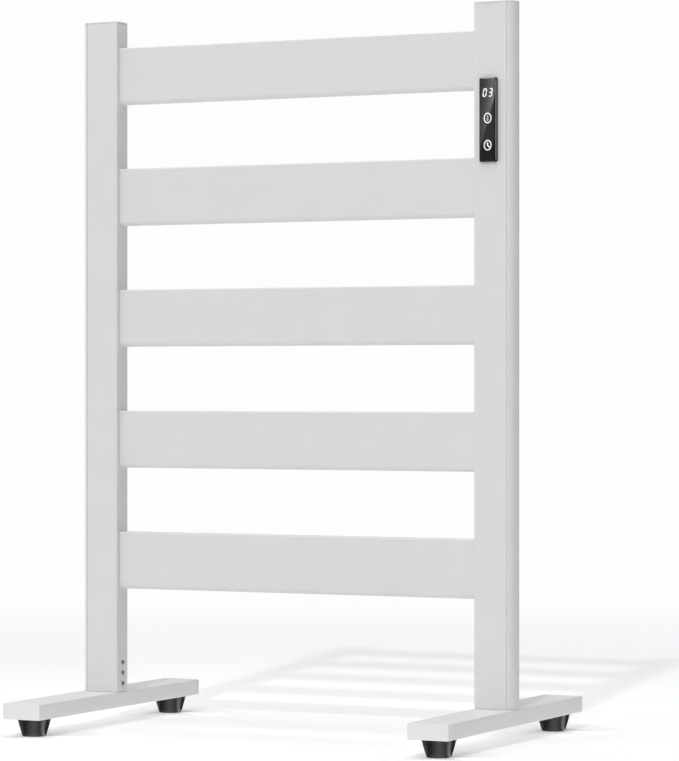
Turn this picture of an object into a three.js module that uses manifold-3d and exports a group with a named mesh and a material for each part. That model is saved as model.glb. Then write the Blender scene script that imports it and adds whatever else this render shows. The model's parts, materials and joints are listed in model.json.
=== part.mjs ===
// Free-standing electric towel warmer rack.
// Millimetres, +Z up. X runs along the slats, the front faces -Y, and the origin is on the floor
// under the middle of the rack.
import * as THREE from "three";
import { mergeVertices } from "three/addons/utils/BufferGeometryUtils.js";
import Module from "manifold-3d";

const wasm = await Module();
wasm.setup();

// ---------------------------------------------------------------- driving dimensions

const FIT_GAP = 0.3; // clearance between pieces that rest on or plug into each other

// Posts: hollow D-shaped extrusions, flat in front and on the inner side, rounded on the outer side.
const POST_GAP = 480; // between the inner faces of the two posts
const POST_WIDTH = 50;
const POST_FLAT = 41.8; // width of the flat front, before the rounded outer side
const POST_DEPTH = 27;
const POST_HEIGHT = 825; // cap included
const POST_WALL = 1.4;
const POST_CORNER = 1.6; // radius of the two corners on the inner side
const CAP_PLATE = 2;
const CAP_SKIRT = 12;
const CAP_SKIRT_WALL = 1.7;

// Slats: flat hollow sections with rounded long edges.
const SLAT_COUNT = 5;
const SLAT_HEIGHT = 70;
const SLAT_DEPTH = 15;
const SLAT_WALL = 1.2;
const SLAT_EDGE = 5.5;
const SLAT_PITCH = 148.7;
const SLAT_TOP_MARGIN = 32.8; // from the top of the post to the top of the first slat
const PLUG_LENGTH = 18; // of the part inside the slat
const TONGUE_HEIGHT = 50;
const TONGUE_DEPTH = 8.4;
const TONGUE_REACH = 8; // into the post

// Heating cable: a loop in each slat whose two ends reach into the right post.
const CABLE_RADIUS = 2;
const CABLE_HOLE = 2.45;
const CABLE_LEG = 16; // from the middle of the slat to each leg
const CABLE_REACH = 12;
const CABLE_TURN_X = -200; // where the legs turn back

// Foot bars: flat rectangular tubes with a cap in each end.
const BAR_LENGTH = 392;
const BAR_WIDTH = 51;
const BAR_HEIGHT = 19;
const BAR_WALL = 1.6;
const BAR_EDGE = 1.5;
const BAR_OUTSET = 25.3; // from the inner face of the post to the middle of the bar
const BAR_SKIRT = 10;
const BAR_SKIRT_WALL = 2;
const INNER_CORNER = 0.5; // inside the bar and on the skirts of its caps

// Levelling feet: rubber cones on threaded studs.
const FOOT_HEIGHT = 21.4;
const FOOT_TOP_RADIUS = 20.2;
const FOOT_BASE_RADIUS = 14.2;
const FOOT_SPREAD = 166; // from the middle of the bar to each foot
const STUD_RADIUS = 4;
const STUD_TOP = 14.5; // above the underside of the bar
const STUD_ROOT = 12; // below it, inside the rubber
const STUD_FLANGE_RADIUS = 10;
const STUD_FLANGE_TOP = 0.6; // below the underside of the bar
const STUD_FLANGE_BOTTOM = 3;
const STUD_HOLE = 4.7;
const NUT_WIDTH = 13; // across flats
const NUT_HEIGHT = 6.5;
const NUT_BORE = 4.3;

// Spigots inside the feet of the posts, and the screws that hold them.
const SPIGOT_WIDTH = 38;
const SPIGOT_DEPTH = 23.2;
const SPIGOT_HEIGHT = 46;
const SPIGOT_WALL = 2.5;
const SPIGOT_CORNER = 2.5;
const SPIGOT_CLEARANCE = 0.5; // to the inner wall of the post
const SCREW_HEIGHTS = [10, 23, 36]; // above the foot bar
const SCREW_HOLE = 2.1;
const SCREW_SHANK = 1.7;
const SCREW_REACH = 8;
const SCREW_HEAD_RADIUS = 3;
const SCREW_HEAD_HEIGHT = 1.8;
const RECESS_LENGTH = 3; // of each arm of the cross in the head
const RECESS_WIDTH = 0.8;
const RECESS_DEPTH = 1;

// Control on the front of the right post.
const PANEL_WIDTH = 22;
const PANEL_HEIGHT = 98;
const PANEL_X = 19.6; // from the inner face of the post
const PANEL_BELOW_TOP = 138.6; // middle of the panel
const PANEL_PROUD = 4.5;
const PANEL_CORNER = 2;
const PANEL_BEVEL = 1.1;
const GLASS_THICKNESS = 1.7;
const FLANGE_THICKNESS = 2.4;
const TUB_WIDTH = 17.6;
const TUB_HEIGHT = 93;
const TUB_DEPTH = 11;
const TUB_WALL = 1.2;
const WIRE_HOLE = 8; // square, in the back of the tub
const WIRE_HOLE_X = 1;
const BOARD_THICKNESS = 1.4;
const BOARD_WIDTH = 14.4;
const BOARD_HEIGHT = 89;
const BOARD_BEHIND_GLASS = 5;
const DISPLAY_WIDTH = 14;
const DISPLAY_HEIGHT = 13;
const DISPLAY_Z = 31.6; // from the middle of the panel
const HEAT_KEY_Z = 2.1;
const TIMER_KEY_Z = -29.2;
const TOUCH_PAD_RADIUS = 5;

// Wiring inside the right post, and the gland for the supply lead.
const LOOM_X = 33;
const LOOM_Y = 4;
const LOOM_RADIUS = 3;
const BRANCH_RADIUS = 1.8;
const LOOM_TOP_MARGIN = 6; // above the highest branch
const TERMINAL_CORNERS = [[16, -7, 95], [39, 8, 125]];
const TERMINAL_SCREW_X = 27;
const TERMINAL_SCREW_HEIGHTS = [101, 110, 119];
const TERMINAL_SCREW_RADIUS = 2.5;
const TERMINAL_SCREW_DEPTH = 4;
const CUTOUT_Z = 537;
const CUTOUT_WIDTH = 10;
const CUTOUT_HEIGHT = 24;
const CUTOUT_CORNER = 2.5;
const CUTOUT_THICKNESS = 5.3;
const GLAND_X = 24;
const GLAND_Z = 70;
const GLAND_BORE = 3.7;
const GLAND_SLEEVE = 6;
const GLAND_INSIDE = 6; // reach of the sleeve, from the rear face of the post
const GLAND_FLANGE = 9;
const GLAND_NUT = 8;

// Derived positions. A side frame has its origin on the inner face of a post, at the top of the foot bar,
// with +X pointing away from the middle of the rack.
const BAR_TOP = FOOT_HEIGHT + BAR_HEIGHT;
const HALF_GAP = POST_GAP / 2;
const HALF_DEPTH = POST_DEPTH / 2;
const FRONT = -HALF_DEPTH;
const SLAT_LENGTH = POST_GAP - 2 * FIT_GAP;
const PANEL_Z = POST_HEIGHT - PANEL_BELOW_TOP;
const slatHeights = Array.from(
  { length: SLAT_COUNT },
  (_, i) => POST_HEIGHT - SLAT_TOP_MARGIN - SLAT_HEIGHT / 2 - i * SLAT_PITCH,
);

// ---------------------------------------------------------------- materials

const finishes = {
  whiteCoat: { color: 0xf1f1f0, roughness: 0.42, metalness: 0.0 },
  whitePlastic: { color: 0xeeeeec, roughness: 0.5, metalness: 0.0 },
  rubber: { color: 0x202022, roughness: 0.55, metalness: 0.0 },
  zincSteel: { color: 0xb4b6ba, roughness: 0.35, metalness: 1.0 },
  blackGlass: { color: 0x08080a, roughness: 0.06, metalness: 0.0 },
  blackPlastic: { color: 0x161617, roughness: 0.4, metalness: 0.0 },
  greenBoard: { color: 0x1d5a38, roughness: 0.5, metalness: 0.0 },
  siliconeCable: { color: 0xb8b4ac, roughness: 0.6, metalness: 0.0 },
  ceramic: { color: 0xe4ded2, roughness: 0.7, metalness: 0.0 },
  nylon: { color: 0xd9d7d0, roughness: 0.6, metalness: 0.0 },
};

function piece(name, geometry, finish) {
  const mesh = new THREE.Mesh(geometry, new THREE.MeshStandardMaterial(finishes[finish]));
  mesh.name = name;
  return mesh;
}

// ---------------------------------------------------------------- solids

// A closed three.js geometry as a solid that can be cut and joined.
function solid(geometry) {
  const bare = geometry.index ? geometry.toNonIndexed() : geometry.clone();
  bare.deleteAttribute("normal");
  bare.deleteAttribute("uv");
  const merged = mergeVertices(bare, 1e-4);
  const vertProperties = new Float32Array(merged.attributes.position.array);
  const triVerts = new Uint32Array(merged.index.array);
  return new wasm.Manifold(new wasm.Mesh({ numProp: 3, vertProperties, triVerts }));
}

// A solid back as a flat-shaded three.js geometry.
function shell(manifold) {
  const mesh = manifold.getMesh();
  const indexed = new THREE.BufferGeometry();
  indexed.setAttribute("position", new THREE.BufferAttribute(mesh.vertProperties, 3));
  indexed.setIndex(new THREE.BufferAttribute(mesh.triVerts, 1));
  const flat = indexed.toNonIndexed();
  flat.computeVertexNormals();
  return flat;
}

function cut(base, cutters) {
  return cutters.reduce((rest, cutter) => rest.subtract(cutter), base);
}

function join(solids) {
  return solids.reduce((whole, next) => whole.add(next));
}

// A box between two corners.
function block([x0, y0, z0], [x1, y1, z1]) {
  const geometry = new THREE.BoxGeometry(x1 - x0, y1 - y0, z1 - z0);
  geometry.translate((x0 + x1) / 2, (y0 + y1) / 2, (z0 + z1) / 2);
  return solid(geometry);
}

// A rod along one axis, through a point, between two places on that axis.
function rod(axis, [x, y, z], radius, from, to, sides = 16) {
  const geometry = new THREE.CylinderGeometry(radius, radius, to - from, sides);
  const middle = (from + to) / 2;
  if (axis === "x") {
    geometry.rotateZ(Math.PI / 2);
    geometry.translate(middle, y, z);
  }
  if (axis === "y") {
    geometry.translate(x, middle, z);
  }
  if (axis === "z") {
    geometry.rotateX(Math.PI / 2);
    geometry.translate(x, y, middle);
  }
  return solid(geometry);
}

// A rectangle with rounded corners, centred on the origin.
function roundedRectangle(width, height, radius) {
  const x = width / 2;
  const y = height / 2;
  const shape = new THREE.Shape();
  shape.moveTo(-x + radius, -y);
  shape.lineTo(x - radius, -y);
  shape.absarc(x - radius, -y + radius, radius, -Math.PI / 2, 0);
  shape.lineTo(x, y - radius);
  shape.absarc(x - radius, y - radius, radius, 0, Math.PI / 2);
  shape.lineTo(-x + radius, y);
  shape.absarc(-x + radius, y - radius, radius, Math.PI / 2, Math.PI);
  shape.lineTo(-x, -y + radius);
  shape.absarc(-x + radius, -y + radius, radius, Math.PI, 1.5 * Math.PI);
  return shape;
}

function withHole(outer, inner) {
  outer.holes.push(inner);
  return outer;
}

// An outline drawn in Y and Z, extruded along X.
function alongX(shape, from, to, curveSegments = 3) {
  const options = { depth: to - from, bevelEnabled: false, curveSegments };
  const geometry = new THREE.ExtrudeGeometry(shape, options);
  const turn = new THREE.Matrix4().makeBasis(
    new THREE.Vector3(0, 1, 0),
    new THREE.Vector3(0, 0, 1),
    new THREE.Vector3(1, 0, 0),
  );
  geometry.applyMatrix4(turn);
  geometry.translate(from, 0, 0);
  return geometry;
}

// An outline drawn in X and Z, extruded along Y.
function alongY(shape, from, to, curveSegments = 3) {
  const options = { depth: to - from, bevelEnabled: false, curveSegments };
  const geometry = new THREE.ExtrudeGeometry(shape, options);
  geometry.rotateX(Math.PI / 2);
  geometry.translate(0, to, 0);
  return geometry;
}

// An outline drawn in X and Y, extruded along Z.
function alongZ(shape, from, to, curveSegments = 3) {
  const options = { depth: to - from, bevelEnabled: false, curveSegments };
  const geometry = new THREE.ExtrudeGeometry(shape, options);
  geometry.translate(0, 0, from);
  return geometry;
}

// A turned piece: [radius, height] pairs, from the bottom of the axis round to its top, standing on Z.
function turned(profile, segments) {
  const points = profile.map(([radius, height]) => new THREE.Vector2(radius, height));
  const geometry = new THREE.LatheGeometry(points, segments);
  geometry.rotateX(Math.PI / 2);
  return geometry;
}

// ---------------------------------------------------------------- posts

// Outline of the post, inset by a wall thickness or a clearance.
function postOutline(inset = 0) {
  const half = HALF_DEPTH - inset;
  const radius = Math.max(POST_CORNER - inset, 0.4);
  const shape = new THREE.Shape();
  shape.moveTo(inset + radius, -half);
  shape.lineTo(POST_FLAT, -half);
  shape.absellipse(POST_FLAT, 0, POST_WIDTH - POST_FLAT - inset, half, -Math.PI / 2, Math.PI / 2);
  shape.lineTo(inset + radius, half);
  shape.absarc(inset + radius, half - radius, radius, Math.PI / 2, Math.PI);
  shape.lineTo(inset, -half + radius);
  shape.absarc(inset + radius, -half + radius, radius, Math.PI, 1.5 * Math.PI);
  return shape;
}

// The holes in the inner wall that the tongues of the slat plugs pass through.
function tongueHoles() {
  const halfDepth = TONGUE_DEPTH / 2 + FIT_GAP;
  const halfHeight = TONGUE_HEIGHT / 2 + FIT_GAP;
  return slatHeights.map((z) =>
    block([-1, -halfDepth, z - halfHeight], [POST_WALL + 1, halfDepth, z + halfHeight]),
  );
}

function screwHoles(from, to) {
  return SCREW_HEIGHTS.map((z) => rod("x", [0, 0, z], SCREW_HOLE, from, to, 12));
}

// The window for the control and the hole for the gland, in the control post only.
function controlPostHoles() {
  const halfWidth = TUB_WIDTH / 2 + FIT_GAP;
  const halfHeight = TUB_HEIGHT / 2 + FIT_GAP;
  const window = block(
    [PANEL_X - halfWidth, FRONT - 1, PANEL_Z - halfHeight],
    [PANEL_X + halfWidth, FRONT + POST_WALL + 1, PANEL_Z + halfHeight],
  );
  const glandHole = rod(
    "y",
    [GLAND_X, 0, GLAND_Z],
    GLAND_SLEEVE + FIT_GAP,
    HALF_DEPTH - POST_WALL - 1,
    HALF_DEPTH + 1,
    24,
  );
  return [window, glandHole];
}

function postGeometry(extraHoles) {
  const section = withHole(postOutline(), postOutline(POST_WALL));
  const top = POST_HEIGHT - CAP_PLATE - FIT_GAP;
  const tube = solid(alongZ(section, FIT_GAP, top, 4));
  return shell(cut(tube, [...tongueHoles(), ...screwHoles(-1, POST_WALL + 1), ...extraHoles]));
}

// A push-in cap: a plate over the end of the post and a skirt inside it.
function capGeometry() {
  const bottom = POST_HEIGHT - CAP_PLATE;
  const plate = solid(alongZ(postOutline(), bottom, POST_HEIGHT, 4));
  const outer = postOutline(POST_WALL + FIT_GAP);
  const skirtSection = withHole(outer, postOutline(POST_WALL + FIT_GAP + CAP_SKIRT_WALL));
  const skirt = solid(alongZ(skirtSection, bottom - CAP_SKIRT, bottom + 0.5, 4));
  return shell(join([plate, skirt]));
}

// ---------------------------------------------------------------- foot assembly of one side

function spigotGeometry() {
  const outer = roundedRectangle(SPIGOT_WIDTH, SPIGOT_DEPTH, SPIGOT_CORNER);
  const inner = roundedRectangle(SPIGOT_WIDTH - 2 * SPIGOT_WALL, SPIGOT_DEPTH - 2 * SPIGOT_WALL, 1);
  const tube = solid(alongZ(withHole(outer, inner), FIT_GAP, SPIGOT_HEIGHT));
  const left = POST_WALL + SPIGOT_CLEARANCE;
  const placed = tube.translate(left + SPIGOT_WIDTH / 2, 0, 0);
  return shell(cut(placed, screwHoles(left - 1, left + SPIGOT_WALL + 1)));
}

// A pan-head screw with a cross recess, along +X, head towards -X.
function screwGeometry() {
  const top = SCREW_HEAD_HEIGHT + 0.1;
  const profile = [
    [0, -SCREW_REACH],
    [SCREW_SHANK - 0.6, -SCREW_REACH],
    [SCREW_SHANK, -SCREW_REACH + 1.2],
    [SCREW_SHANK, 0.1],
    [SCREW_HEAD_RADIUS, 0.1],
    [SCREW_HEAD_RADIUS, 0.7],
    [SCREW_HEAD_RADIUS * 0.82, top - 0.35],
    [SCREW_HEAD_RADIUS * 0.5, top],
    [0, top],
  ];
  const body = solid(turned(profile, 12));
  const arms = [[RECESS_LENGTH / 2, RECESS_WIDTH / 2], [RECESS_WIDTH / 2, RECESS_LENGTH / 2]];
  const recess = arms.map(([x, y]) => block([-x, -y, top - RECESS_DEPTH], [x, y, top + 1]));
  const geometry = shell(cut(body, recess));
  geometry.rotateY(-Math.PI / 2);
  return geometry;
}

function footBarGeometry() {
  const outer = roundedRectangle(BAR_WIDTH, BAR_HEIGHT, BAR_EDGE);
  const inner = roundedRectangle(BAR_WIDTH - 2 * BAR_WALL, BAR_HEIGHT - 2 * BAR_WALL, INNER_CORNER);
  const reach = BAR_LENGTH / 2 - CAP_PLATE - FIT_GAP;
  const tube = solid(alongY(withHole(outer, inner), -reach, reach));
  const bottom = -BAR_HEIGHT / 2;
  const holes = [-FOOT_SPREAD, FOOT_SPREAD].map((y) =>
    rod("z", [0, y, 0], STUD_HOLE, bottom - 1, bottom + BAR_WALL + 1, 20),
  );
  return shell(cut(tube, holes));
}

// A push-in end cap for the foot bar, facing -Y.
function barCapGeometry() {
  const face = -BAR_LENGTH / 2;
  const plateShape = roundedRectangle(BAR_WIDTH, BAR_HEIGHT, BAR_EDGE);
  const plate = solid(alongY(plateShape, face, face + CAP_PLATE));
  const inset = 2 * (BAR_WALL + FIT_GAP);
  const hollow = inset + 2 * BAR_SKIRT_WALL;
  const outer = roundedRectangle(BAR_WIDTH - inset, BAR_HEIGHT - inset, INNER_CORNER);
  const inner = roundedRectangle(BAR_WIDTH - hollow, BAR_HEIGHT - hollow, INNER_CORNER);
  const back = face + CAP_PLATE + BAR_SKIRT;
  const skirt = solid(alongY(withHole(outer, inner), face + CAP_PLATE - 0.5, back));
  return shell(join([plate, skirt]));
}

// The weld nut inside the bar. Heights are above the underside of the bar.
function footNutGeometry() {
  const bottom = BAR_WALL + FIT_GAP;
  const circumradius = NUT_WIDTH / 2 / Math.cos(Math.PI / 6);
  const hexagon = rod("z", [0, 0, 0], circumradius, bottom, bottom + NUT_HEIGHT, 6);
  return shell(hexagon.subtract(rod("z", [0, 0, 0], NUT_BORE, 0, bottom + NUT_HEIGHT + 1, 24)));
}

function footStudGeometry() {
  const profile = [
    [0, -STUD_ROOT],
    [STUD_RADIUS, -STUD_ROOT],
    [STUD_RADIUS, -STUD_FLANGE_BOTTOM],
    [STUD_FLANGE_RADIUS, -STUD_FLANGE_BOTTOM],
    [STUD_FLANGE_RADIUS, -STUD_FLANGE_TOP],
    [STUD_RADIUS, -STUD_FLANGE_TOP],
    [STUD_RADIUS, STUD_TOP - 1],
    [STUD_RADIUS - 1, STUD_TOP],
    [0, STUD_TOP],
  ];
  return turned(profile, 16);
}

// The rubber cone, with the pocket that holds the root and the flange of the stud.
function rubberFootGeometry() {
  const pocketRadius = STUD_FLANGE_RADIUS + 0.4;
  const pocketFloor = -STUD_FLANGE_BOTTOM - FIT_GAP;
  const profile = [
    [0, -FOOT_HEIGHT],
    [FOOT_BASE_RADIUS - 1.2, -FOOT_HEIGHT],
    [FOOT_BASE_RADIUS - 0.3, -FOOT_HEIGHT + 0.4],
    [FOOT_BASE_RADIUS + 0.2, -FOOT_HEIGHT + 1.3],
    [FOOT_TOP_RADIUS, -FIT_GAP - 0.6],
    [FOOT_TOP_RADIUS - 0.5, -FIT_GAP],
    [pocketRadius, -FIT_GAP],
    [pocketRadius, pocketFloor],
    [STUD_RADIUS + FIT_GAP, pocketFloor],
    [STUD_RADIUS + FIT_GAP, -STUD_ROOT - FIT_GAP],
    [0, -STUD_ROOT - FIT_GAP],
  ];
  return turned(profile, 28);
}

function levellingFoot(place, y) {
  const foot = new THREE.Group();
  foot.position.set(BAR_OUTSET, y, -BAR_HEIGHT);
  foot.add(piece(`rubber_foot_${place}`, rubberFootGeometry(), "rubber"));
  foot.add(piece(`foot_stud_${place}`, footStudGeometry(), "zincSteel"));
  foot.add(piece(`foot_nut_${place}`, footNutGeometry(), "zincSteel"));
  return foot;
}

function footBar(side, frontY) {
  const bar = new THREE.Group();
  bar.position.set(BAR_OUTSET, 0, -BAR_HEIGHT / 2);
  bar.add(piece(`${side}_foot_bar`, footBarGeometry(), "whiteCoat"));
  for (const [place, towardsY] of [["front", frontY], ["rear", -frontY]]) {
    const cap = piece(`${side}_foot_${place}_cap`, barCapGeometry(), "whitePlastic");
    cap.rotation.z = towardsY < 0 ? 0 : Math.PI;
    bar.add(cap);
  }
  return bar;
}

// One post with everything at its foot, in the side frame. frontY is -1 where the front of the rack is
// on the side frame's -Y, and 1 where the side frame is turned round.
function postAssembly(side, frontY, extraHoles) {
  const group = new THREE.Group();
  group.add(piece(`${side}_post`, postGeometry(extraHoles), "whiteCoat"));
  group.add(piece(`${side}_post_cap`, capGeometry(), "whitePlastic"));
  group.add(piece(`${side}_spigot`, spigotGeometry(), "zincSteel"));
  SCREW_HEIGHTS.forEach((z, i) => {
    const screw = piece(`${side}_post_screw_${i + 1}`, screwGeometry(), "zincSteel");
    screw.position.z = z;
    group.add(screw);
  });
  group.add(footBar(side, frontY));
  group.add(levellingFoot(`front_${side}`, frontY * FOOT_SPREAD));
  group.add(levellingFoot(`rear_${side}`, -frontY * FOOT_SPREAD));
  return group;
}

// ---------------------------------------------------------------- slats

function slatGeometry() {
  const outer = roundedRectangle(SLAT_DEPTH, SLAT_HEIGHT, SLAT_EDGE);
  const innerEdge = SLAT_EDGE - SLAT_WALL;
  const inner = roundedRectangle(SLAT_DEPTH - 2 * SLAT_WALL, SLAT_HEIGHT - 2 * SLAT_WALL, innerEdge);
  return alongX(withHole(outer, inner), -SLAT_LENGTH / 2, SLAT_LENGTH / 2);
}

// A plug at the +X end of a slat: a body inside the slat and a tongue that reaches into the post.
function plugGeometry(cableHoles) {
  const inset = 2 * (SLAT_WALL + FIT_GAP);
  const edge = SLAT_EDGE - SLAT_WALL - FIT_GAP;
  const section = roundedRectangle(SLAT_DEPTH - inset, SLAT_HEIGHT - inset, edge);
  const end = SLAT_LENGTH / 2;
  const body = solid(alongX(section, end - PLUG_LENGTH, end, 2));
  const tongue = block(
    [end - 1, -TONGUE_DEPTH / 2, -TONGUE_HEIGHT / 2],
    [HALF_GAP + TONGUE_REACH, TONGUE_DEPTH / 2, TONGUE_HEIGHT / 2],
  );
  return shell(cut(join([body, tongue]), cableHoles));
}

function cableHoles() {
  return [-CABLE_LEG, CABLE_LEG].map((z) =>
    rod("x", [0, 0, z], CABLE_HOLE, HALF_GAP - PLUG_LENGTH - 2, HALF_GAP + TONGUE_REACH + 1, 12),
  );
}

// The half circle at the end of the heating cable, from the lower leg round to the upper one.
class CableTurn extends THREE.Curve {
  getPoint(t) {
    const angle = -Math.PI / 2 - Math.PI * t;
    const x = CABLE_TURN_X + CABLE_LEG * Math.cos(angle);
    return new THREE.Vector3(x, 0, CABLE_LEG * Math.sin(angle));
  }
}

function heatingCableGeometry() {
  const section = new THREE.Shape();
  section.absarc(0, 0, CABLE_RADIUS, 0, 2 * Math.PI);
  const options = { steps: 10, extrudePath: new CableTurn(), curveSegments: 4, bevelEnabled: false };
  const turn = solid(new THREE.ExtrudeGeometry(section, options));
  const legs = [-CABLE_LEG, CABLE_LEG].map((z) =>
    rod("x", [0, 0, z], CABLE_RADIUS, CABLE_TURN_X - 0.5, HALF_GAP + CABLE_REACH, 8),
  );
  return shell(join([turn, ...legs]));
}

function slatAssembly(number, z) {
  const group = new THREE.Group();
  group.position.z = BAR_TOP + z;
  group.add(piece(`slat_${number}`, slatGeometry(), "whiteCoat"));
  group.add(piece(`slat_${number}_right_plug`, plugGeometry(cableHoles()), "nylon"));
  const leftPlug = piece(`slat_${number}_left_plug`, plugGeometry([]), "nylon");
  leftPlug.rotation.z = Math.PI;
  group.add(leftPlug);
  group.add(piece(`heating_cable_${number}`, heatingCableGeometry(), "siliconeCable"));
  return group;
}

// ---------------------------------------------------------------- control

// All control geometry has its origin at the middle of the panel, on the front of the post, facing -Y.

function controlGlassGeometry() {
  const shape = roundedRectangle(PANEL_WIDTH, PANEL_HEIGHT, PANEL_CORNER);
  const options = {
    depth: 2,
    bevelThickness: PANEL_BEVEL,
    bevelSize: PANEL_BEVEL,
    bevelOffset: -PANEL_BEVEL,
    bevelSegments: 1,
    curveSegments: 4,
  };
  const slab = new THREE.ExtrudeGeometry(shape, options);
  slab.rotateX(Math.PI / 2);
  slab.translate(0, -PANEL_PROUD + PANEL_BEVEL + options.depth, 0);
  const keep = block(
    [-PANEL_WIDTH, -PANEL_PROUD - 1, -PANEL_HEIGHT],
    [PANEL_WIDTH, -PANEL_PROUD + GLASS_THICKNESS, PANEL_HEIGHT],
  );
  return shell(solid(slab).intersect(keep));
}

// The housing: a thin flange on the face of the post and a tub behind it, open to the front.
function controlHousingGeometry() {
  const face = -PANEL_PROUD + GLASS_THICKNESS + 0.2;
  const back = face + FLANGE_THICKNESS;
  const flangeShape = roundedRectangle(PANEL_WIDTH, PANEL_HEIGHT, PANEL_CORNER);
  const flange = solid(alongY(flangeShape, face, back));
  const tub = block(
    [-TUB_WIDTH / 2, face + 0.3, -TUB_HEIGHT / 2],
    [TUB_WIDTH / 2, TUB_DEPTH, TUB_HEIGHT / 2],
  );
  const x = TUB_WIDTH / 2 - TUB_WALL;
  const z = TUB_HEIGHT / 2 - TUB_WALL;
  const hollow = block([-x, face - 1, -z], [x, TUB_DEPTH - TUB_WALL, z]);
  const wireHole = block(
    [WIRE_HOLE_X - WIRE_HOLE / 2, TUB_DEPTH - TUB_WALL - 1, -WIRE_HOLE / 2],
    [WIRE_HOLE_X + WIRE_HOLE / 2, TUB_DEPTH + 1, WIRE_HOLE / 2],
  );
  return shell(cut(join([flange, tub]), [hollow, wireHole]));
}

function control() {
  const group = new THREE.Group();
  group.position.set(PANEL_X, FRONT, PANEL_Z);
  group.add(piece("control_glass", controlGlassGeometry(), "blackGlass"));
  group.add(piece("control_housing", controlHousingGeometry(), "blackPlastic"));

  const boardFront = -PANEL_PROUD + GLASS_THICKNESS + BOARD_BEHIND_GLASS;
  const boardShape = roundedRectangle(BOARD_WIDTH, BOARD_HEIGHT, 1);
  const boardGeometry = alongY(boardShape, boardFront, boardFront + BOARD_THICKNESS, 1);
  group.add(piece("control_board", boardGeometry, "greenBoard"));

  const behindGlass = -PANEL_PROUD + GLASS_THICKNESS + FIT_GAP;
  const displayShape = roundedRectangle(DISPLAY_WIDTH, DISPLAY_HEIGHT, 0.6);
  const displayGeometry = alongY(displayShape, behindGlass, boardFront - FIT_GAP, 1);
  const display = piece("display_module", displayGeometry, "blackPlastic");
  display.position.z = DISPLAY_Z;
  group.add(display);

  for (const [name, z] of [["heat_touch_pad", HEAT_KEY_Z], ["timer_touch_pad", TIMER_KEY_Z]]) {
    const pad = shell(rod("y", [0, 0, 0], TOUCH_PAD_RADIUS, behindGlass, boardFront - FIT_GAP, 20));
    const mesh = piece(name, pad, "zincSteel");
    mesh.position.z = z;
    group.add(mesh);
  }
  return group;
}

// ---------------------------------------------------------------- wiring in the right post

// One trunk up the post, with a pair of branches to each heating cable and one to the control.
function loomGeometry() {
  const bottom = TERMINAL_CORNERS[1][2] + FIT_GAP;
  const top = slatHeights[0] + CABLE_LEG + LOOM_TOP_MARGIN;
  const trunk = rod("z", [LOOM_X, LOOM_Y, 0], LOOM_RADIUS, bottom, top, 12);
  const branches = slatHeights.flatMap((z) =>
    [z - CABLE_LEG, z + CABLE_LEG].map((height) =>
      rod("x", [0, LOOM_Y - 2, height], BRANCH_RADIUS, CABLE_REACH + FIT_GAP, LOOM_X, 8),
    ),
  );
  const controlBack = FRONT + TUB_DEPTH;
  const lead = [
    rod("x", [0, LOOM_Y, PANEL_Z], BRANCH_RADIUS, PANEL_X + 1, LOOM_X, 8),
    rod("y", [PANEL_X + 1, 0, PANEL_Z], BRANCH_RADIUS, controlBack - 1.5, LOOM_Y + BRANCH_RADIUS, 8),
  ];
  return shell(join([trunk, ...branches, ...lead]));
}

function terminalBlockGeometry() {
  const body = block(...TERMINAL_CORNERS);
  const face = TERMINAL_CORNERS[0][1];
  const wells = TERMINAL_SCREW_HEIGHTS.map((z) =>
    rod("y", [TERMINAL_SCREW_X, 0, z], TERMINAL_SCREW_RADIUS, face - 1, face + TERMINAL_SCREW_DEPTH, 12),
  );
  return shell(cut(body, wells));
}

// A ceramic thermal cut-out against the inner wall of the post.
function thermalCutoutGeometry() {
  const shape = roundedRectangle(CUTOUT_WIDTH, CUTOUT_HEIGHT, CUTOUT_CORNER);
  const face = POST_WALL + FIT_GAP;
  return alongX(shape, face, face + CUTOUT_THICKNESS, 2);
}

// The cable gland: a sleeve through the wall, a flange on it and a domed nut, all with one bore.
function glandGeometry() {
  const wallFace = HALF_DEPTH + 0.2;
  const inside = HALF_DEPTH - GLAND_INSIDE;
  const profile = [
    [GLAND_BORE, inside],
    [GLAND_SLEEVE, inside],
    [GLAND_SLEEVE, wallFace],
    [GLAND_FLANGE, wallFace],
    [GLAND_FLANGE, wallFace + 3],
    [GLAND_NUT, wallFace + 3.4],
    [GLAND_NUT, wallFace + 8],
    [GLAND_NUT - 0.8, wallFace + 10],
    [GLAND_NUT - 2.2, wallFace + 11.5],
    [GLAND_BORE, wallFace + 11.5],
    [GLAND_BORE, inside],
  ];
  const points = profile.map(([radius, y]) => new THREE.Vector2(radius, y));
  return new THREE.LatheGeometry(points, 20);
}

function wiring() {
  const group = new THREE.Group();
  group.add(piece("wiring_loom", loomGeometry(), "siliconeCable"));
  group.add(piece("terminal_block", terminalBlockGeometry(), "nylon"));
  const cutout = piece("thermal_cutout", thermalCutoutGeometry(), "ceramic");
  cutout.position.z = CUTOUT_Z;
  group.add(cutout);
  const gland = piece("supply_gland", glandGeometry(), "whitePlastic");
  gland.position.set(GLAND_X, 0, GLAND_Z);
  group.add(gland);
  return group;
}

// ---------------------------------------------------------------- the rack

const rack = new THREE.Group();

const rightSide = postAssembly("right", -1, controlPostHoles());
rightSide.position.set(HALF_GAP, 0, BAR_TOP);
rightSide.add(control());
rightSide.add(wiring());
rack.add(rightSide);

const leftSide = postAssembly("left", 1, []);
leftSide.position.set(-HALF_GAP, 0, BAR_TOP);
leftSide.rotation.z = Math.PI;
rack.add(leftSide);

slatHeights.forEach((z, i) => rack.add(slatAssembly(i + 1, z)));

export default rack;
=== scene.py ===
import json
import math

import bmesh
import bpy
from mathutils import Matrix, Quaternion, Vector


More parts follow.
